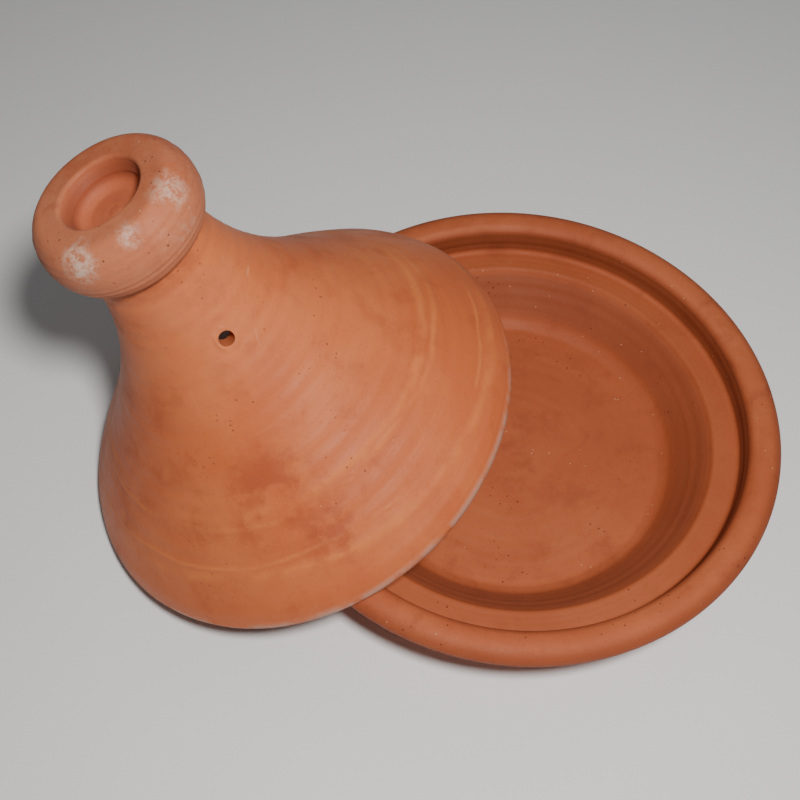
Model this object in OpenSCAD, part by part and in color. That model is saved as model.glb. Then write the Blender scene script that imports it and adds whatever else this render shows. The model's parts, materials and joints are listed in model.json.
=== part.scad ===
// Tagine: a shallow round cooking dish of fired clay and its hollow conical lid with a cupped knob.
// Millimetres, +Z up, origin at the centre of the dish's foot.
// The lid leans towards -X: its low edge is on the table and its mouth lies across the dish's rim.

/* [Dish] */
// Outer diameter over the rolled rim
dish_d = 290; // [288:1:296]
// Height from the table to the top of the rolled rim
dish_h = 58; // [57:0.5:61]
// Width of the rolled rim, seen in section
roll_w = 18; // [16:0.5:18.5]
// Height of the rolled rim, seen in section
roll_h = 13; // [12:0.5:15]
// Diameter of the flat foot
foot_d = 196; // [190:1:210]
// Rounding of the foot's edge
foot_round = 8; // [4:1:10]
// Thickness of the floor
floor_t = 10; // [8:0.5:11]
// Diameter of the flat of the floor
floor_d = 168; // [160:1:174]
// Height of the gallery, the ledge the closed lid sits on
gallery_h = 39; // [37:1:41]
// Inner diameter of the gallery
gallery_in_d = 222; // [220:1:226]
// Outer diameter of the gallery
gallery_out_d = 251; // [250:0.5:252]

/* [Lid] */
// Largest diameter of the lid, just above its bottom edge
lid_d = 250; // [247:0.5:250.5]
// Height of the cone from its bottom edge to the neck's flat top
cone_h = 159.5; // [152:0.5:166]
// Wall thickness at the bottom edge, measured level
edge_w = 14; // [12:0.5:16]
// Diameter of the neck's flat top
neck_d = 58; // [54:1:62]
// Diameter of the opening in the neck
socket_d = 30; // [26:1:34]
// Diameter of the steam vent
vent_d = 7.5; // [6:0.5:9]
// Height of the vent's mouth above the bottom edge
vent_h = 118; // [108:1:126]
// Direction the vent faces, in degrees round the lid's axis from +X
vent_turn = -54; // [-80:1:-30]

/* [Knob] */
// Largest diameter of the knob
knob_d = 78; // [75:1:81]
// Height of the knob above the neck
knob_h = 32.5; // [31:0.5:34]
// Diameter of the cup in the knob's top
cup_d = 38; // [36:1:40]
// Depth of the cup
cup_depth = 13; // [11:0.5:15]
// Length of the spigot that closes the neck
spigot_l = 10; // [8:0.5:12]
// Slip-filled gap round the spigot
slip_gap = 0.2; // [0.1:0.05:0.4]

/* [Lean] */
// Angle the lid leans over, in degrees
lean = 21.8; // [20:0.1:23]
// Height of the lid's edge above the top of the rim where they cross; they touch at 1.1
rest_rise = 1.4; // [1.2:0.1:1.8]

/* [Hidden] */
$fn = 180;

clay_dish = [0.66, 0.38, 0.25];
clay_lid = [0.76, 0.48, 0.34];
clay_knob = [0.68, 0.44, 0.33];

// Degrees of arc and steps of curve between the points of an outline
arc_step = 12;
curve_n = 16;

dish_r = dish_d / 2;
foot_r = foot_d / 2;
floor_r = floor_d / 2;
gallery_in_r = gallery_in_d / 2;
gallery_out_r = gallery_out_d / 2;
lid_r = lid_d / 2;
neck_r = neck_d / 2;
socket_r = socket_d / 2;
knob_r = knob_d / 2;
cup_r = cup_d / 2;

// Rolled rim: centre and half sizes of its oval section, and where the oval starts and ends
roll_half = [roll_w / 2, roll_h / 2];
roll_mid = [dish_r - roll_half[0], dish_h - roll_half[1]];
roll_under = -115;
roll_inside = 172;

// Dish wall: angle of the inner wall from upright, and the roundings round the gallery
wall_lean = 40;
corner_r = 10;
ledge_round = 2;
lip_fillet = 2.5;
foot_turn = 60;
foot_pull = [14, 9];
roll_pull = [-9, -12];
lip_pull = [-0.5, -3];

// Lid wall: rounding of the bottom edge, and the shoulder where the skirt turns into the cone
edge_round = 5;
edge_in_round = 2;
edge_turn = 120;
shoulder = [111, 25];
edge_pull = [-3, 6];
shoulder_pull = [-22, 26];
skirt_share = 0.17;
neck_pull = [3, -58];
neck_in_pull = [9, -44];
edge_in_pull = [-28, 36];
socket_step = 3;
vent_cut = 44;
vent_sides = 48;
vent_reach = 4;

// Knob: height of its widest part, and the roundings of its cup
belly_h = 17;
crease = 1;
cup_lip = 2.5;
cup_lip_from = 100;
cup_fillet = 6;
cup_taper = 2;

// Points along an elliptical arc about a centre, from angle a0 to a1
function arc(centre, radii, a0, a1) =
    let (n = ceil(abs(a1 - a0) / arc_step))
    [for (i = [0:n])
        let (a = a0 + (a1 - a0) * i / n)
        [centre[0] + radii[0] * cos(a), centre[1] + radii[1] * sin(a)]];

// Points along a cubic curve from p0 to p3, drawn towards p1 and p2 on the way, ends left out
function curve(p0, p1, p2, p3) =
    [for (i = [1:curve_n - 1])
        let (t = i / curve_n, s = 1 - t)
        s * s * s * p0 + 3 * s * s * t * p1 + 3 * s * t * t * p2 + t * t * t * p3];

function last(points) = points[len(points) - 1];

// Section of the dish, from the centre of the foot round the outside and back over the floor
function dish_outline() =
    let (
        foot_arc = arc([foot_r - foot_round, foot_round], [foot_round, foot_round],
            -90, foot_turn - 90),
        roll_arc = arc(roll_mid, roll_half, roll_under, roll_inside),
        lip_foot = [gallery_out_r, gallery_h + lip_fillet],
        ledge_mid = [gallery_in_r + ledge_round, gallery_h - ledge_round]
    )
    concat(
        [[0, 0]],
        foot_arc,
        curve(last(foot_arc), last(foot_arc) + foot_pull, roll_arc[0] + roll_pull, roll_arc[0]),
        roll_arc,
        curve(last(roll_arc), last(roll_arc) + lip_pull, lip_foot - lip_pull, lip_foot),
        arc([gallery_out_r - lip_fillet, gallery_h + lip_fillet], [lip_fillet, lip_fillet], 0, -90),
        arc(ledge_mid, [ledge_round, ledge_round], 90, 180 - wall_lean),
        arc([floor_r, floor_t + corner_r], [corner_r, corner_r], -wall_lean, -90),
        [[0, floor_t]]
    );

// Outside of the lid's wall above its rounded bottom edge, from the skirt up to the neck
function cone_outside(foot) =
    let (neck = [neck_r, cone_h])
    concat(
        curve(foot, foot + edge_pull, shoulder - skirt_share * shoulder_pull, shoulder),
        [shoulder],
        curve(shoulder, shoulder + shoulder_pull, neck + neck_pull, neck),
        [neck]
    );

// Section of the lid's wall, from the inside of the bottom edge out, up, and down the inside
function cone_outline() =
    let (
        edge = arc([lid_r - edge_round, edge_round], [edge_round, edge_round], -90, edge_turn - 90),
        inside_foot = [lid_r - edge_w, edge_in_round],
        inside_head = [socket_r, cone_h - spigot_l - socket_step]
    )
    concat(
        arc(inside_foot + [edge_in_round, 0], [edge_in_round, edge_in_round], 180, 270),
        edge,
        cone_outside(last(edge)),
        [[socket_r, cone_h], inside_head],
        curve(inside_head, inside_head + neck_in_pull, inside_foot + edge_in_pull, inside_foot)
    );

// Section of the knob, from the foot of its spigot round the outside and down into the cup
function knob_outline() =
    let (
        top = cone_h + knob_h,
        belly = cone_h + belly_h,
        base_r = neck_r - crease,
        crest_r = (knob_r + cup_r) / 2,
        cup_floor_r = cup_r - cup_taper - cup_fillet
    )
    concat(
        [[0, cone_h - spigot_l], [socket_r - slip_gap, cone_h - spigot_l]],
        [[socket_r - slip_gap, cone_h]],
        arc([base_r, belly], [knob_r - base_r, belly_h], -90, 0),
        arc([crest_r, belly], [knob_r - crest_r, knob_h - belly_h], arc_step, 90),
        arc([cup_r + cup_lip, top - cup_lip], [cup_lip, cup_lip], cup_lip_from, 180),
        arc([cup_floor_r, top - cup_depth + cup_fillet], [cup_fillet, cup_fillet], 0, -90),
        [[0, top - cup_depth]]
    );

// Distance from the lid's axis to its outer wall at a height above the bottom edge
function wall_r(h) = lookup(h, [for (p = cone_outside([lid_r, edge_round])) [p[1], p[0]]]);

// The leaning pose. The bottom edge's rounding touches the table at its lowest point, and the
// inside of the bottom edge rests across the top of the rolled rim at two places.
lean_z = (lid_r - edge_round) * sin(lean) - edge_round * cos(lean) + edge_round;
rest_r = lid_r - edge_w + edge_in_round;
rest_x = (dish_h + rest_rise - lean_z) / tan(lean);
rest_y2 = rest_r * rest_r - pow(rest_x / cos(lean), 2);
lean_x = -sqrt(roll_mid[0] * roll_mid[0] - rest_y2) - rest_x;

module leaning() {
    translate([lean_x, 0, lean_z])
        rotate([0, -lean, 0])
            children();
}

module dish() {
    color(clay_dish)
        rotate_extrude()
            polygon(dish_outline());
}

module vent() {
    slope = atan2(wall_r(vent_h - vent_reach) - wall_r(vent_h + vent_reach), 2 * vent_reach);
    rotate([0, 0, vent_turn])
        translate([wall_r(vent_h), 0, vent_h])
            rotate([0, 90 - slope, 0])
                cylinder(h = vent_cut, r = vent_d / 2, center = true, $fn = vent_sides);
}

module lid_cone() {
    color(clay_lid)
        leaning()
            difference() {
                rotate_extrude()
                    polygon(cone_outline());
                vent();
            }
}

module lid_knob() {
    color(clay_knob)
        leaning()
            rotate_extrude()
                polygon(knob_outline());
}

dish();
lid_cone();
lid_knob();
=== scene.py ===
"""Tagine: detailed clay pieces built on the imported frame, with floor, light and camera."""
import json
import math

import bpy
import numpy as np
from mathutils import Matrix, Vector


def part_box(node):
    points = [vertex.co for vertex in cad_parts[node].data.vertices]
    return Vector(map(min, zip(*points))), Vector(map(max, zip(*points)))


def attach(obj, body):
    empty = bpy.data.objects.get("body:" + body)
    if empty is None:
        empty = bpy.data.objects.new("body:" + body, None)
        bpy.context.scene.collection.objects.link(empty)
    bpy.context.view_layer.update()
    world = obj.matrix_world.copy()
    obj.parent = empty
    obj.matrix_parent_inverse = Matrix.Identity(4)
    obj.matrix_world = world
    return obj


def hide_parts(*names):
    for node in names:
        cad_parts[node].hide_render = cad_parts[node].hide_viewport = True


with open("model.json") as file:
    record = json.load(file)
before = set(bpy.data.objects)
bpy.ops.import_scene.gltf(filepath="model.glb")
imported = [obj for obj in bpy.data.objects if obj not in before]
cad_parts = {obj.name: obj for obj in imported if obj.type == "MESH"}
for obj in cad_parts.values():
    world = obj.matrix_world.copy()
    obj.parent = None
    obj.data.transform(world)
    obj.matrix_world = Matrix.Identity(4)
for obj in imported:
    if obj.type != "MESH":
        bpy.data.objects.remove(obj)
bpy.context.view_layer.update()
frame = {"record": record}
record = frame["record"]

MM = 0.001

# Points round a turned piece, and mm between the points of its outline
AROUND = 400
STEP = 1.1
KNOB_AROUND = 320
KNOB_STEP = 0.6

# ---------------------------------------------------------------- where things are
mounts = {m["name"]: m for m in record["mounts"]}
lid_axis = Vector(mounts["knob_grip"]["axis"]).normalized()
grip = Vector(mounts["knob_grip"]["pos_m"])
dish_low, dish_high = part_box("dish")
dish_r = (dish_high[0] - dish_low[0]) / 2 / MM
dish_h = (dish_high[2] - dish_low[2]) / MM

# Dish sizes in mm, above its foot
FOOT_R = 98.0
FOOT_ROUND = 8.0
ROLL = (9.0, 6.5)
LIP_FOOT = (125.5, 41.5)
LIP_FILLET = 2.5
LIP_PULL = (-0.5, -3)
LEDGE_MID = (113, 37)
LEDGE_ROUND = 2
FLOOR_R = 84
FLOOR_Z = 10
CORNER_R = 10

# Lid sizes in mm, in its own frame: the bottom edge lies in z = 0
CONE_H = 159.5
BELLY_H = 17.0
KNOB_H = 32.5
LID_R = 125.0
EDGE_W = 14.0
EDGE_ROUND = 5.0
EDGE_IN_ROUND = 2.0
SHOULDER = (111.0, 25.0)
SHOULDER_PULL = (-22.0, 26.0)
SKIRT_SHARE = 0.17
SOCKET_STEP = 3.0
NECK_R = 29.0
SOCKET_R = 15.0
SPIGOT = 10.0
KNOB_R = 39.0
CUP_R = 19.0
CUP_DEPTH = 13.0
CUP_LIP = 2.5
CUP_FILLET = 6.0
CUP_TAPER = 2.0
SLIP_GAP = 0.2
CREASE = 1.0
SEAM = 0.02
VENT_H = 118.0
VENT_TURN = math.radians(-54)
VENT_R = 3.75
VENT_CUT = 44.0
VENT_SIDES = 48
VENT_REACH = 4.0

side = Vector((0, 1, 0)).cross(lid_axis).normalized()
lid_frame = Matrix((
    (side.x, 0, lid_axis.x, 0),
    (side.y, 1, lid_axis.y, 0),
    (side.z, 0, lid_axis.z, 0),
    (0, 0, 0, 1)))
lid_frame.translation = grip - lid_axis * (CONE_H + BELLY_H) * MM
dish_frame = Matrix.Translation((
    (dish_low[0] + dish_high[0]) / 2, (dish_low[1] + dish_high[1]) / 2, dish_low[2]))


# ---------------------------------------------------------------- outlines
def arc(centre, radii, a0, a1):
    n = max(2, int(abs(a1 - a0) / 4))
    a = np.radians(np.linspace(a0, a1, n + 1))
    return np.c_[centre[0] + radii[0] * np.cos(a), centre[1] + radii[1] * np.sin(a)]


def curve(p0, p1, p2, p3, n=48):
    p0, p1, p2, p3 = (np.array(p, float) for p in (p0, p1, p2, p3))
    t = np.linspace(0, 1, n + 1)[1:-1, None]
    s = 1 - t
    return s ** 3 * p0 + 3 * s * s * t * p1 + 3 * s * t * t * p2 + t ** 3 * p3


def even(points, step=STEP):
    """The same outline with evenly spaced points."""
    keep = np.r_[True, np.hypot(*np.diff(points, axis=0).T) > 1e-6]
    points = points[keep]
    run = np.r_[0, np.cumsum(np.hypot(*np.diff(points, axis=0).T))]
    n = int(run[-1] / step)
    at = np.linspace(0, run[-1], n + 1)
    return np.c_[np.interp(at, run, points[:, 0]), np.interp(at, run, points[:, 1])]


def dish_outline():
    mid = np.array([dish_r, dish_h]) - ROLL
    foot = arc((FOOT_R - FOOT_ROUND, FOOT_ROUND), (FOOT_ROUND, FOOT_ROUND), -90, -30)
    rim = arc(mid, ROLL, -115, 172)
    lip_foot, pull = np.array(LIP_FOOT), np.array(LIP_PULL)
    return np.r_[
        [[0, 0]], foot,
        curve(foot[-1], foot[-1] + [14, 9], rim[0] + [-9, -12], rim[0]),
        rim,
        curve(rim[-1], rim[-1] + pull, lip_foot - pull, lip_foot),
        arc((LIP_FOOT[0] - LIP_FILLET, LIP_FOOT[1]), (LIP_FILLET, LIP_FILLET), 0, -90),
        arc(LEDGE_MID, (LEDGE_ROUND, LEDGE_ROUND), 90, 140),
        arc((FLOOR_R, FLOOR_Z + CORNER_R), (CORNER_R, CORNER_R), -40, -90),
        [[0, FLOOR_Z]]]


def cone_outline():
    edge = arc((LID_R - EDGE_ROUND, EDGE_ROUND), (EDGE_ROUND, EDGE_ROUND), -90, 30)
    shoulder, pull = np.array(SHOULDER), np.array(SHOULDER_PULL)
    neck = np.array([NECK_R, CONE_H])
    foot_in = np.array([LID_R - EDGE_W, EDGE_IN_ROUND])
    head_in = np.array([SOCKET_R, CONE_H - SPIGOT - SOCKET_STEP])
    return np.r_[
        arc(foot_in + [EDGE_IN_ROUND, 0], (EDGE_IN_ROUND, EDGE_IN_ROUND), 180, 270), edge,
        curve(edge[-1], edge[-1] + [-3, 6], shoulder - SKIRT_SHARE * pull, shoulder, 20),
        [shoulder],
        curve(shoulder, shoulder + pull, neck + [3, -58], neck),
        [neck, [SOCKET_R, CONE_H], head_in],
        curve(head_in, head_in + [9, -44], foot_in + [-28, 36], foot_in),
        [foot_in]]


def knob_outline():
    top, belly = CONE_H + KNOB_H, CONE_H + BELLY_H
    base, crest = NECK_R - CREASE, (KNOB_R + CUP_R) / 2
    spigot_r = SOCKET_R - SLIP_GAP
    cup_floor_r = CUP_R - CUP_TAPER - CUP_FILLET
    return np.r_[
        [[0, CONE_H - SPIGOT], [spigot_r, CONE_H - SPIGOT], [spigot_r, CONE_H + SEAM]],
        arc((base, belly), (KNOB_R - base, BELLY_H - SEAM), -90, 0),
        arc((crest, belly), (KNOB_R - crest, KNOB_H - BELLY_H), 6, 90),
        arc((CUP_R + CUP_LIP, top - CUP_LIP), (CUP_LIP, CUP_LIP), 100, 180),
        arc((cup_floor_r, top - CUP_DEPTH + CUP_FILLET), (CUP_FILLET, CUP_FILLET), 0, -90),
        [[0, top - CUP_DEPTH]]]


# ---------------------------------------------------------------- turned pieces
def bump_at(x, centre, width):
    return np.exp(-((x - centre) / width) ** 2)


def lathe(name, outline, sink, closed, place, around=AROUND, step=STEP):
    """A turned piece: outline in mm, sunk into its surface by sink(r, z, angle, normal) mm."""
    line = even(outline, step)
    if closed:
        line = line[:-1]
        back, fore = np.roll(line, 1, 0), np.roll(line, -1, 0)
    else:
        back, fore = np.r_[line[:1], line[:-1]], np.r_[line[1:], line[-1:]]
    tangent = fore - back
    tangent /= np.maximum(np.hypot(tangent[:, 0], tangent[:, 1]), 1e-9)[:, None]
    normal = np.c_[tangent[:, 1], -tangent[:, 0]]
    turn = np.arange(around) * 2 * math.pi / around
    r, z = line[:, 0][:, None], line[:, 1][:, None]
    depth = sink(r, z, turn[None, :], normal)
    rr = np.maximum(r - depth * normal[:, 0][:, None], 0)
    zz = z - depth * normal[:, 1][:, None] + 0 * turn[None, :]
    xyz = np.stack([rr * np.cos(turn), rr * np.sin(turn), zz], -1) * MM
    m = len(line)
    nxt = np.roll(np.arange(around), -1)
    faces = []
    if closed:
        verts = xyz.reshape(-1, 3)
        index = np.arange(m * around).reshape(m, around)
        rows = range(m)
    else:
        # the outline starts and ends on the axis, where one point closes each end
        poles = [[0, 0, xyz[0, :, 2].mean()], [0, 0, xyz[-1, :, 2].mean()]]
        verts = np.r_[xyz[1:-1].reshape(-1, 3), poles]
        index = np.arange((m - 2) * around).reshape(m - 2, around)
        first, final = (m - 2) * around, (m - 2) * around + 1
        ring0, ring1 = index[0], index[-1]
        faces += [(first, int(ring0[i]), int(ring0[nxt[i]])) for i in range(around)]
        faces += [(final, int(ring1[nxt[i]]), int(ring1[i])) for i in range(around)]
        rows = range(m - 3)
    for k in rows:
        a, b = index[k], index[(k + 1) % len(index)]
        quads = np.c_[a, b, b[nxt], a[nxt]]
        faces += [tuple(int(v) for v in q) for q in quads]
    mesh = bpy.data.meshes.new(name)
    mesh.from_pydata([tuple(v) for v in verts], [], faces)
    mesh.transform(place)
    mesh.update()
    mesh.shade_smooth()
    piece = bpy.data.objects.new(name, mesh)
    bpy.context.scene.collection.objects.link(piece)
    return piece


def soft(seed, turn, waves):
    """A slow closed wander round the piece, from 0 to 1."""
    rng = np.random.default_rng(seed)
    out = 0 * turn
    for w in waves:
        out = out + rng.uniform(0.3, 1) * np.sin(w * turn + rng.uniform(0, 6.28)) / len(waves)
    return 0.5 + 0.5 * np.clip(out, -1, 1)


def rings(x, spacing, seed, turn):
    """Throwing rings: uneven ridges along x, which drift a little round the piece."""
    wander = 0.35 * spacing * soft(seed, turn, (1, 2, 3))
    a = np.sin((x + wander) * 2 * math.pi / spacing)
    b = np.sin((x * 1.37 + 2 * wander + 2.1) * 2 * math.pi / spacing)
    return 0.5 + 0.25 * a + 0.25 * b


def dish_sink(r, z, turn, normal):
    up = normal[:, 1][:, None]
    inside = (r < 127.5) & (up > -0.2) & (z > 9)
    floor = (r < 88) & (z < 14) & (z > 5)
    wall = (r >= 84) & (r < 112) & inside & (z < 37.5)
    ledge = (r > 110) & (r < 123) & (z > 36) & (z < 40)
    lip = (r > 122) & (r < 130) & (z > 39) & (z < 56) & (normal[:, 0][:, None] < 0.2)
    outside = (z < 46) & (normal[:, 0][:, None] > 0.3)
    crest = z > 50.5
    d = floor * (0.2 * rings(r, 9.5, 1, turn) * np.clip(r / 12, 0, 1) + 0.07 * rings(r, 3.1, 2, turn))
    d = d + floor * 0.35 * bump_at(r, 6, 5)
    d = d + wall * (0.24 * rings(z, 7.3, 3, turn) + 0.08 * rings(z, 2.3, 4, turn))
    d = d + ledge * (0.12 * rings(r, 2.4, 5, turn) + 0.5 * bump_at(r, 115.2, 0.8) * soft(6, turn, (2, 3, 5)))
    d = d + ledge * 0.35 * bump_at(r, 118.4, 0.7) * soft(7, turn, (1, 4, 7))
    d = d + lip * (0.3 * rings(z, 5.1, 8, turn) + 0.45 * bump_at(z, 44.6, 0.9))
    d = d + outside * (0.35 * rings(z, 6.1, 9, turn) + 0.12 * rings(z, 1.9, 10, turn))
    d = d + crest * 0.25 * soft(11, turn, (2, 3, 5, 9)) + 0.06 * soft(12, turn, (7, 13, 23))
    return d * (z > 0.4)


def cone_sink(r, z, turn, normal):
    out = (normal[:, 0][:, None] > 0.05) & (z > 7)
    inner = (normal[:, 0][:, None] < -0.05) & (z > 3) & (z < CONE_H - SPIGOT - 4)
    edge = (z < 9) & (r > 118)
    fade = np.clip((CONE_H - z) / 12, 0, 1)
    d = out * fade * (0.26 * rings(z, 8.7, 21, turn) + 0.1 * rings(z, 2.6, 22, turn))
    d = d + out * 0.35 * bump_at(z, 21 + 1.2 * np.sin(turn), 1.3) * soft(23, turn, (1, 3))
    d = d + out * 0.25 * bump_at(z, 46 + 1.5 * np.sin(turn + 1), 1.1) * soft(24, turn, (1, 2, 4))
    d = d + out * 0.3 * bump_at(z, CONE_H - 9, 2.4) * fade
    d = d + inner * (0.7 * rings(z, 9.3, 25, turn) + 0.15 * rings(z, 2.1, 26, turn))
    d = d + edge * (0.35 * soft(27, turn, (3, 5, 8, 13)) + 0.15 * soft(28, turn, (17, 29, 41)))
    # the raised burr where the vent was pushed through the soft wall
    gap_z = z - VENT_H
    gap_s = r * np.sin(turn - VENT_TURN)
    front = np.cos(turn - VENT_TURN) > 0
    off = np.hypot(gap_z, gap_s)
    d = d - out * front * 0.7 * bump_at(off, VENT_R + 1.1, 1.0) * (0.55 + 0.45 * np.sin(turn * 40))
    return d


def knob_sink(r, z, turn, normal):
    shell = (z > CONE_H + 1) & (r > 2)
    cup = (r < CUP_R + 1) & (z > CONE_H + 12)
    d = shell * (0.22 * rings(z, 4.7, 31, turn) + 0.08 * rings(z, 1.7, 32, turn))
    d = d + shell * (1 - cup) * 0.55 * bump_at(z, CONE_H + 7.2, 0.9) * soft(33, turn, (1, 2, 3))
    d = d + shell * (1 - cup) * 0.3 * bump_at(z, CONE_H + 10.6, 0.8) * soft(34, turn, (2, 3))
    d = d + cup * 0.15 * rings(r, 3.9, 35, turn) + shell * 0.3 * soft(36, turn, (2, 3, 5))
    d = d + (1 - cup) * (z > CONE_H + 0.1) * 0.9 * bump_at(z, CONE_H + 0.9, 1.0)
    return d


dish = lathe("dish_body", dish_outline(), dish_sink, False, dish_frame)
cone = lathe("lid_shell", cone_outline(), cone_sink, True, lid_frame)
knob = lathe("knob_body", knob_outline(), knob_sink, False, lid_frame, KNOB_AROUND, KNOB_STEP)


def cut_vent(piece):
    """The vent goes square through the lid's wall."""
    line = cone_outline()
    out = line[(line[:, 1] > 20) & (line[:, 0] >= NECK_R - 0.1)]
    out = out[np.argsort(out[:, 1])]
    out = out[np.r_[True, np.diff(out[:, 1]) > 0.5]]
    r0 = float(np.interp(VENT_H, out[:, 1], out[:, 0]))
    above, below = (float(np.interp(VENT_H + h, out[:, 1], out[:, 0])) for h in (VENT_REACH, -VENT_REACH))
    slope = math.atan2(below - above, 2 * VENT_REACH)
    bpy.ops.mesh.primitive_cylinder_add(vertices=VENT_SIDES, radius=VENT_R * MM, depth=VENT_CUT * MM)
    tool = bpy.context.object
    turn = Matrix.Rotation(VENT_TURN, 4, "Z")
    mouth = Matrix.Translation((r0 * MM, 0, VENT_H * MM))
    tool.matrix_world = lid_frame @ turn @ mouth @ Matrix.Rotation(math.pi / 2 - slope, 4, "Y")
    cut = piece.modifiers.new("vent", "BOOLEAN")
    cut.operation = "DIFFERENCE"
    cut.solver = "EXACT"
    cut.object = tool
    bpy.context.view_layer.update()
    solid = bpy.data.meshes.new_from_object(piece.evaluated_get(bpy.context.evaluated_depsgraph_get()))
    piece.modifiers.clear()
    piece.data = solid
    bpy.data.objects.remove(tool)


cut_vent(cone)


# ---------------------------------------------------------------- clay
class Clay:
    """A node tree for one piece's clay, built up from small sums."""

    def __init__(self, name, place):
        self.mat = bpy.data.materials.new(name)
        self.mat.use_nodes = True
        self.tree = self.mat.node_tree
        self.tree.nodes.clear()
        self.out = self.node("ShaderNodeOutputMaterial")
        self.bsdf = self.node("ShaderNodeBsdfPrincipled")
        self.link(self.bsdf.outputs[0], self.out.inputs[0])
        # the mesh lies in the row frame, so its own frame is found again for the patterns
        local = self.node("ShaderNodeMapping", vector_type="TEXTURE")
        local.inputs["Location"].default_value = place.translation
        local.inputs["Rotation"].default_value = place.to_euler()
        self.link(self.node("ShaderNodeTexCoord").outputs["Object"], local.inputs[0])
        self.at = local.outputs[0]
        parts = self.node("ShaderNodeSeparateXYZ")
        self.link(self.at, parts.inputs[0])
        self.x, self.y, self.z = parts.outputs
        squares = [self.math("MULTIPLY", side, side) for side in (self.x, self.y)]
        self.r = self.math("SQRT", self.math("ADD", *squares))

    def node(self, kind, **props):
        made = self.tree.nodes.new(kind)
        for key, value in props.items():
            setattr(made, key, value)
        return made

    def link(self, a, b):
        self.tree.links.new(a, b)

    def put(self, value, socket):
        if isinstance(value, (int, float, tuple)):
            socket.default_value = value
        else:
            self.link(value, socket)

    def math(self, op, a, b=0.0, clamp=False):
        made = self.node("ShaderNodeMath", operation=op, use_clamp=clamp)
        self.put(a, made.inputs[0])
        self.put(b, made.inputs[1])
        return made.outputs[0]

    def noise(self, scale, detail=4.0, rough=0.55, warp=0.0, stretch=(1, 1, 1), shift=(0, 0, 0)):
        place = self.node("ShaderNodeMapping")
        place.inputs["Scale"].default_value = stretch
        place.inputs["Location"].default_value = shift
        self.link(self.at, place.inputs[0])
        made = self.node("ShaderNodeTexNoise")
        self.link(place.outputs[0], made.inputs["Vector"])
        made.inputs["Scale"].default_value = scale
        made.inputs["Detail"].default_value = detail
        made.inputs["Roughness"].default_value = rough
        made.inputs["Distortion"].default_value = warp
        return made.outputs[0]

    def ramp(self, value, low, high, to=(0.0, 1.0)):
        made = self.node("ShaderNodeMapRange", interpolation_type="SMOOTHSTEP")
        self.put(value, made.inputs["Value"])
        made.inputs["From Min"].default_value = low
        made.inputs["From Max"].default_value = high
        made.inputs["To Min"].default_value = to[0]
        made.inputs["To Max"].default_value = to[1]
        return made.outputs[0]

    def mix(self, amount, a, b, mode="MIX"):
        made = self.node("ShaderNodeMix", data_type="RGBA", blend_type=mode)
        self.put(amount, made.inputs[0])
        self.put(a, made.inputs[6])
        self.put(b, made.inputs[7])
        return made.outputs[2]

    def times(self, *values):
        out = values[0]
        for value in values[1:]:
            out = self.math("MULTIPLY", out, value)
        return out

    def plus(self, *values):
        out = values[0]
        for value in values[1:]:
            out = self.math("ADD", out, value)
        return out

    def band(self, value, centre, width):
        """1 where value is near centre, 0 beyond width."""
        off = self.math("ABSOLUTE", self.math("SUBTRACT", value, centre))
        return self.ramp(off, 0.0, width, (1.0, 0.0))

    def spot(self, centre, radius, edge=0.5, rag=0.5):
        """1 inside a ragged spot round a point, 0 outside it."""
        gap = self.node("ShaderNodeVectorMath", operation="DISTANCE")
        self.link(self.at, gap.inputs[0])
        gap.inputs[1].default_value = centre
        wobble = self.math("SUBTRACT", self.noise(70, 5, 0.65), 0.5)
        ragged = self.plus(gap.outputs["Value"], self.times(wobble, radius * rag * 2))
        return self.ramp(ragged, radius * edge, radius, (1.0, 0.0))

    def specks(self, scale, size):
        made = self.node("ShaderNodeTexVoronoi", feature="F1")
        self.link(self.at, made.inputs["Vector"])
        made.inputs["Scale"].default_value = scale
        return self.ramp(made.outputs["Distance"], size * 0.6, size, (1.0, 0.0))

    def finish(self, colour, rough, height, deep, spec=0.28, sheen=0.08):
        b = self.bsdf
        self.link(colour, b.inputs["Base Color"])
        self.link(rough, b.inputs["Roughness"])
        bump = self.node("ShaderNodeBump")
        bump.inputs["Strength"].default_value = 1.0
        bump.inputs["Distance"].default_value = deep
        self.link(height, bump.inputs["Height"])
        self.link(bump.outputs[0], b.inputs["Normal"])
        b.inputs["Specular IOR Level"].default_value = spec
        b.inputs["Sheen Weight"].default_value = sheen
        b.inputs["Sheen Roughness"].default_value = 0.6
        b.inputs["Sheen Tint"].default_value = (1.0, 0.82, 0.72, 1.0)
        return self.mat


# Pulls the plain colours below to clay under the default view transform
CLAY_TINT = (0.94, 0.69, 0.50)


def linear(r, g, b):
    """An 8-bit colour as scene-linear RGBA, tinted."""
    def one(v):
        v = v / 255
        return v / 12.92 if v <= 0.04045 else ((v + 0.055) / 1.055) ** 2.4
    return (one(r) * CLAY_TINT[0], one(g) * CLAY_TINT[1], one(b) * CLAY_TINT[2], 1.0)


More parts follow.
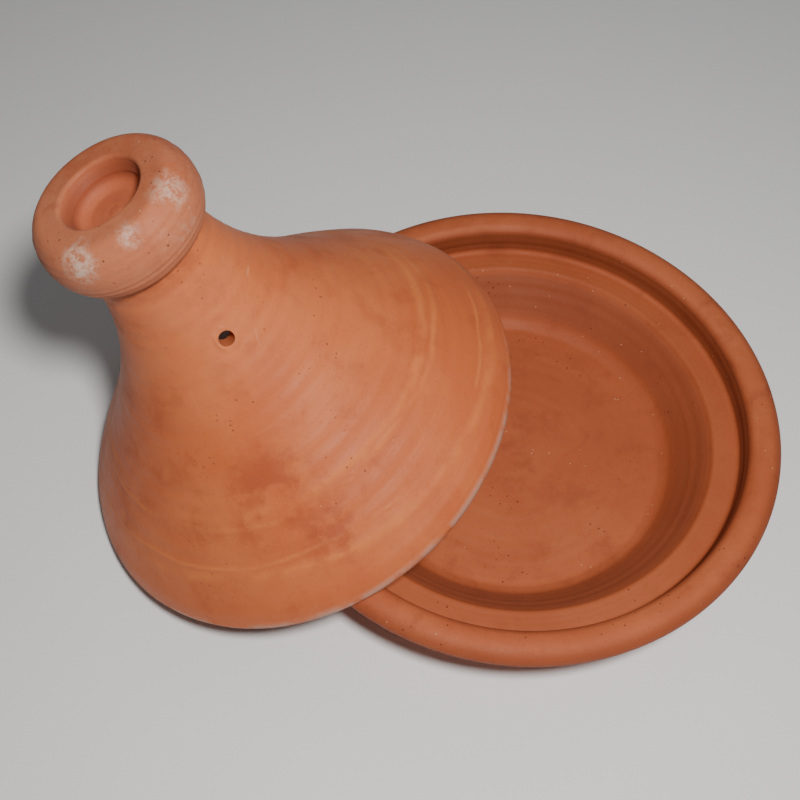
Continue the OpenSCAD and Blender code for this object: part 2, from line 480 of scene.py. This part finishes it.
def clay_ground(c, base, pale, dark, seed):
    """Colour, roughness and height that all three clays share."""
    s = (seed * 0.37, seed * 0.11, seed * 0.23)
    blotch = c.noise(11, 5, 0.6, 0.6, shift=s)
    mottle = c.noise(48, 6, 0.62, 0.3, shift=s)
    grain = c.noise(620, 3, 0.7, shift=s)
    fine = c.noise(1900, 2, 0.6, shift=s)
    turned = c.noise(9, 5, 0.6, 0.2, stretch=(0.25, 0.25, 26), shift=s)
    col = c.mix(c.ramp(blotch, 0.38, 0.66), base, pale)
    col = c.mix(c.times(c.ramp(mottle, 0.5, 0.74), 0.5), col, dark)
    col = c.mix(c.times(c.ramp(turned, 0.42, 0.68), 0.22), col, pale)
    col = c.mix(c.times(c.ramp(grain, 0.56, 0.72), 0.35), col, dark)
    white = c.times(c.specks(150, 0.085), c.ramp(c.noise(30, 2, 0.5, shift=s), 0.5, 0.62))
    pits = c.times(c.specks(210, 0.11), c.ramp(c.noise(24, 2, 0.5, shift=(s[1], s[0], 1)), 0.52, 0.64))
    rough = c.plus(c.ramp(mottle, 0.3, 0.7, (0.56, 0.72)), c.times(c.math("SUBTRACT", grain, 0.5), 0.12))
    height = c.plus(c.times(grain, 0.35), c.times(fine, 0.16), c.times(mottle, 0.9), c.times(turned, 0.55),
                    c.times(pits, -1.6), c.times(white, 0.5))
    return col, rough, height, white, pits


def dish_clay():
    c = Clay("dish_clay", dish_frame)
    base, pale, dark = linear(171, 99, 71), linear(184, 112, 82), linear(140, 75, 55)
    col, rough, height, white, pits = clay_ground(c, base, pale, dark, 1)
    z, r = c.z, c.r
    wall = c.times(c.ramp(z, 0.012, 0.020), c.ramp(z, 0.034, 0.038, (1, 0)), c.ramp(r, 0.114, 0.118, (1, 0)))
    lip = c.times(c.ramp(z, 0.0395, 0.043), c.ramp(z, 0.0515, 0.0565, (1, 0)),
                  c.ramp(r, 0.128, 0.131, (1, 0)))
    ledge = c.times(c.band(z, 0.0385, 0.0016), c.ramp(r, 0.110, 0.112))
    # painted shade: the steep inner wall of the dish is coloured darker
    col = c.mix(c.times(wall, 0.6), col, linear(138, 82, 64))
    # painted shade: the inner face of the lip is coloured darker
    col = c.mix(c.times(lip, 0.6), col, linear(104, 57, 44))
    col = c.mix(c.times(ledge, 0.5), col, linear(160, 94, 64))
    # painted highlight: a pale, broken line along the inner crest of the rim
    ring = c.noise(14, 6, 0.6, 0.4, shift=(3, 1, 0))
    crest = c.times(c.band(r, 0.1305, 0.0022), c.ramp(z, 0.0505, 0.0545), c.ramp(ring, 0.35, 0.6))
    col = c.mix(c.times(crest, 0.35), col, linear(200, 134, 102))
    # painted shade: the outer side of the rim roll is coloured darker
    roll_side_shade = c.times(c.ramp(r, 0.1375, 0.1435), c.ramp(z, 0.040, 0.046))
    col = c.mix(c.times(roll_side_shade, 0.4), col, linear(126, 70, 50))
    # paler, in patches, along the very top of the rim
    rim_top_pale = c.times(c.ramp(z, 0.0560, 0.0580), c.ramp(c.noise(90, 5, 0.7), 0.45, 0.7))
    col = c.mix(c.times(rim_top_pale, 0.2), col, linear(196, 126, 94))
    col = c.mix(c.times(white, 0.75), col, linear(226, 190, 164))
    col = c.mix(c.times(pits, 0.6), col, linear(96, 48, 34))
    # darker, in patches, towards the bottom of the dish
    base_darker = c.times(c.ramp(z, 0.001, 0.012, (1, 0)), c.ramp(c.noise(22, 5, 0.6), 0.35, 0.65))
    col = c.mix(c.times(base_darker, 0.35), col, linear(120, 66, 48))
    return c.finish(col, rough, height, 0.00035, 0.2, 0.01)


def lid_streak(c, height, climb, wave, width, seed, rag=0.5):
    """A pale slip streak at a height round the lid, wavy, broken and of uneven width."""
    drift = c.times(c.math("SUBTRACT", c.noise(9, 3, 0.5, shift=(seed, 0, 2)), 0.5), wave)
    fray = c.times(c.math("SUBTRACT", c.noise(120, 4, 0.7, shift=(0, seed, 1)), 0.5), width * 2 * rag)
    round_it = c.times(c.math("DIVIDE", c.y, c.r), climb)
    line = c.band(c.plus(c.z, round_it, drift, fray), height, width)
    broken = c.ramp(c.noise(26, 4, 0.6, shift=(1, 2, seed)), 0.40, 0.58)
    return c.times(line, broken)


def lid_clay():
    c = Clay("lid_clay", lid_frame)
    base, pale, dark = linear(194, 112, 72), linear(206, 128, 86), linear(164, 86, 54)
    col, rough, height, white, pits = clay_ground(c, base, pale, dark, 2)
    outer = lid_streak(c, 0.0165, 0.012, 0.010, 0.0034, 3.1)
    outer2 = lid_streak(c, 0.0225, 0.011, 0.014, 0.0014, 5.3)
    inner = lid_streak(c, 0.0415, 0.006, 0.012, 0.0020, 7.7)
    inner2 = lid_streak(c, 0.0465, 0.006, 0.013, 0.0034, 9.2)
    streaks = c.math("MAXIMUM", c.math("MAXIMUM", outer, outer2), c.math("MAXIMUM", inner, inner2))
    col = c.mix(c.times(streaks, 0.55), col, linear(222, 146, 92))
    high = c.ramp(c.z, 0.05, 0.13)
    col = c.mix(c.times(high, c.ramp(c.noise(17, 4, 0.6, shift=(4, 4, 4)), 0.35, 0.7), 0.35), col,
                linear(206, 144, 116))
    smear = c.times(c.spot((0.018, -0.080, 0.056), 0.036, 0.2, 0.7), c.ramp(c.noise(46, 5, 0.6), 0.42, 0.56))
    smear2 = c.times(c.spot((0.039, -0.093, 0.036), 0.026, 0.2, 0.7), c.ramp(c.noise(60, 5, 0.6), 0.4, 0.55))
    col = c.mix(c.times(c.math("MAXIMUM", smear, smear2), 0.6), col, linear(158, 76, 54))
    band = c.times(c.ramp(c.z, 0.010, 0.030, (1, 0)), 0.22)
    col = c.mix(band, col, linear(176, 96, 64))
    rim = c.times(c.ramp(c.z, 0.0050, 0.0090, (1, 0)), c.ramp(c.r, 0.121, 0.124),
                  c.ramp(c.y, -0.02, 0.03, (1, 0)), c.ramp(c.noise(55, 5, 0.65, shift=(2, 0, 0)), 0.36, 0.56))
    col = c.mix(c.times(rim, 0.72), col, linear(186, 172, 176))
    scratch = c.times(c.ramp(c.noise(26, 2, 0.5, 0.4, stretch=(9, 1.2, 0.5), shift=(0, 3, 0)), 0.66, 0.7),
                      c.ramp(c.z, 0.09, 0.12))
    col = c.mix(c.times(scratch, 0.3), col, linear(222, 172, 146))
    col = c.mix(c.times(white, 0.4), col, linear(228, 188, 160))
    col = c.mix(c.times(pits, 0.4), col, linear(120, 62, 42))
    # painted shade: the top of the cone just under the knob is coloured darker, in patches
    neck = c.times(c.ramp(c.z, 0.148, 0.159), c.ramp(c.noise(80, 4, 0.6), 0.3, 0.6))
    col = c.mix(c.times(neck, 0.45), col, linear(146, 78, 54))
    inside = c.ramp(c.noise(9, 4, 0.6), 0.3, 0.7)
    rough = c.plus(rough, c.times(streaks, 0.1), c.times(inside, -0.05), -0.06)
    height = c.plus(height, c.times(streaks, 0.7), c.times(scratch, -0.5))
    return c.finish(col, rough, height, 0.00028, 0.3, 0.02)


def knob_clay():
    c = Clay("knob_clay", lid_frame)
    base, pale, dark = linear(172, 106, 80), linear(186, 126, 102), linear(136, 74, 54)
    col, rough, height, white, pits = clay_ground(c, base, pale, dark, 3)
    top = CONE_H * MM
    bloom = c.times(c.ramp(c.noise(34, 6, 0.7, 0.5), 0.46, 0.66), c.ramp(c.noise(300, 4, 0.75), 0.40, 0.62))
    flank = c.times(c.ramp(c.r, 0.030, 0.036), c.ramp(c.z, top + 0.006, top + 0.014))
    col = c.mix(c.times(bloom, flank, 0.22), col, linear(206, 196, 198))
    for centre, radius, amount in (((-0.0068, -0.0340, top + 0.0287), 0.012, 0.80),
                                   ((0.0175, -0.0280, top + 0.0302), 0.007, 0.62),
                                   ((0.0335, -0.0085, top + 0.0289), 0.011, 0.55)):
        patch = c.times(c.spot(centre, radius, 0.15, 0.9), c.ramp(c.noise(260, 5, 0.75), 0.38, 0.6))
        col = c.mix(c.times(patch, amount), col, linear(214, 212, 220))
    cup = c.times(c.ramp(c.r, 0.0185, 0.020, (1, 0)), c.ramp(c.z, top + 0.012, top + 0.016))
    col = c.mix(c.times(cup, 0.5), col, linear(180, 106, 80))
    # painted shade: the inner wall of the cup is coloured darker
    cup_wall_shade = c.times(c.band(c.r, 0.0178, 0.0026), c.ramp(c.z, top + 0.020, top + 0.023),
                       c.ramp(c.z, top + 0.0295, top + 0.0315, (1, 0)))
    col = c.mix(c.times(cup_wall_shade, 0.6), col, linear(122, 66, 50))
    crest = c.times(c.ramp(c.z, top + 0.029, top + 0.032), c.ramp(c.noise(120, 5, 0.7), 0.4, 0.65))
    col = c.mix(c.times(crest, 0.35), col, linear(192, 136, 114))
    # painted shade: the crease where the knob meets the cone is coloured darker
    crease_shade = c.ramp(c.z, top + 0.0005, top + 0.006, (1, 0))
    col = c.mix(c.times(crease_shade, 0.55), col, linear(110, 58, 42))
    col = c.mix(c.times(white, 0.6), col, linear(224, 204, 192))
    col = c.mix(c.times(pits, 0.6), col, linear(96, 52, 38))
    return c.finish(col, rough, height, 0.00035, 0.26, 0.03)


for piece, body, node, slot, clay in (
        (dish, "dish", "dish", "dish_clay", dish_clay()),
        (cone, "lid", "lid_cone", "lid_clay", lid_clay()),
        (knob, "lid", "lid_knob", "knob_clay", knob_clay())):
    piece.data.materials.clear()
    piece.data.materials.append(clay)
    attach(piece, body)
    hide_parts(node)


# ---------------------------------------------------------------- floor, light, camera
def plain(name, colour, rough):
    mat = bpy.data.materials.new(name)
    mat.use_nodes = True
    bsdf = mat.node_tree.nodes["Principled BSDF"]
    bsdf.inputs["Base Color"].default_value = colour
    bsdf.inputs["Roughness"].default_value = rough
    return mat


def area(name, at, towards, size, power, colour=(1, 1, 1)):
    light = bpy.data.lights.new(name, "AREA")
    light.shape = "DISK"
    light.size = size
    light.energy = power
    light.color = colour
    lamp = bpy.data.objects.new(name, light)
    lamp.location = at
    lamp.rotation_euler = (Vector(towards) - Vector(at)).to_track_quat("-Z", "Y").to_euler()
    bpy.context.scene.collection.objects.link(lamp)
    return lamp


bpy.ops.mesh.primitive_plane_add(size=12, location=(0, 0, 0))
floor = bpy.context.object
floor.name = "floor"
floor.data.materials.append(plain("floor", (0.84, 0.84, 0.84, 1), 0.9))

world = bpy.data.worlds.new("sky")
bpy.context.scene.world = world
world.use_nodes = True
world.node_tree.nodes["Background"].inputs[0].default_value = (1, 1, 1, 1)
world.node_tree.nodes["Background"].inputs[1].default_value = 0.1

area("key", (0.02, -0.30, 0.70), (-0.04, 0, 0.05), 0.09, 5.7, (1, 0.985, 0.96))
area("fill", (0.5, 0.5, 0.9), (-0.1, 0, 0.08), 0.6, 0.7)

# Where the camera stands, in metres, and the directions of its frame
LENS = 47.983
CAM_AT = (-0.069131, -0.310988, 0.554218)
CAM_RIGHT = (0.999928, 0.003422, 0.011499)
CAM_UP = (-0.009033, 0.845488, 0.533918)
CAM_BACK = (-0.007896, -0.533983, 0.845458)
lens = bpy.data.cameras.new("camera")
lens.sensor_width = 36
lens.lens = LENS
lens.clip_start = 0.01
camera = bpy.data.objects.new("camera", lens)
bpy.context.scene.collection.objects.link(camera)
turned = Matrix((CAM_RIGHT, CAM_UP, CAM_BACK)).transposed().to_4x4()
turned.translation = CAM_AT
camera.matrix_world = turned
bpy.context.scene.camera = camera
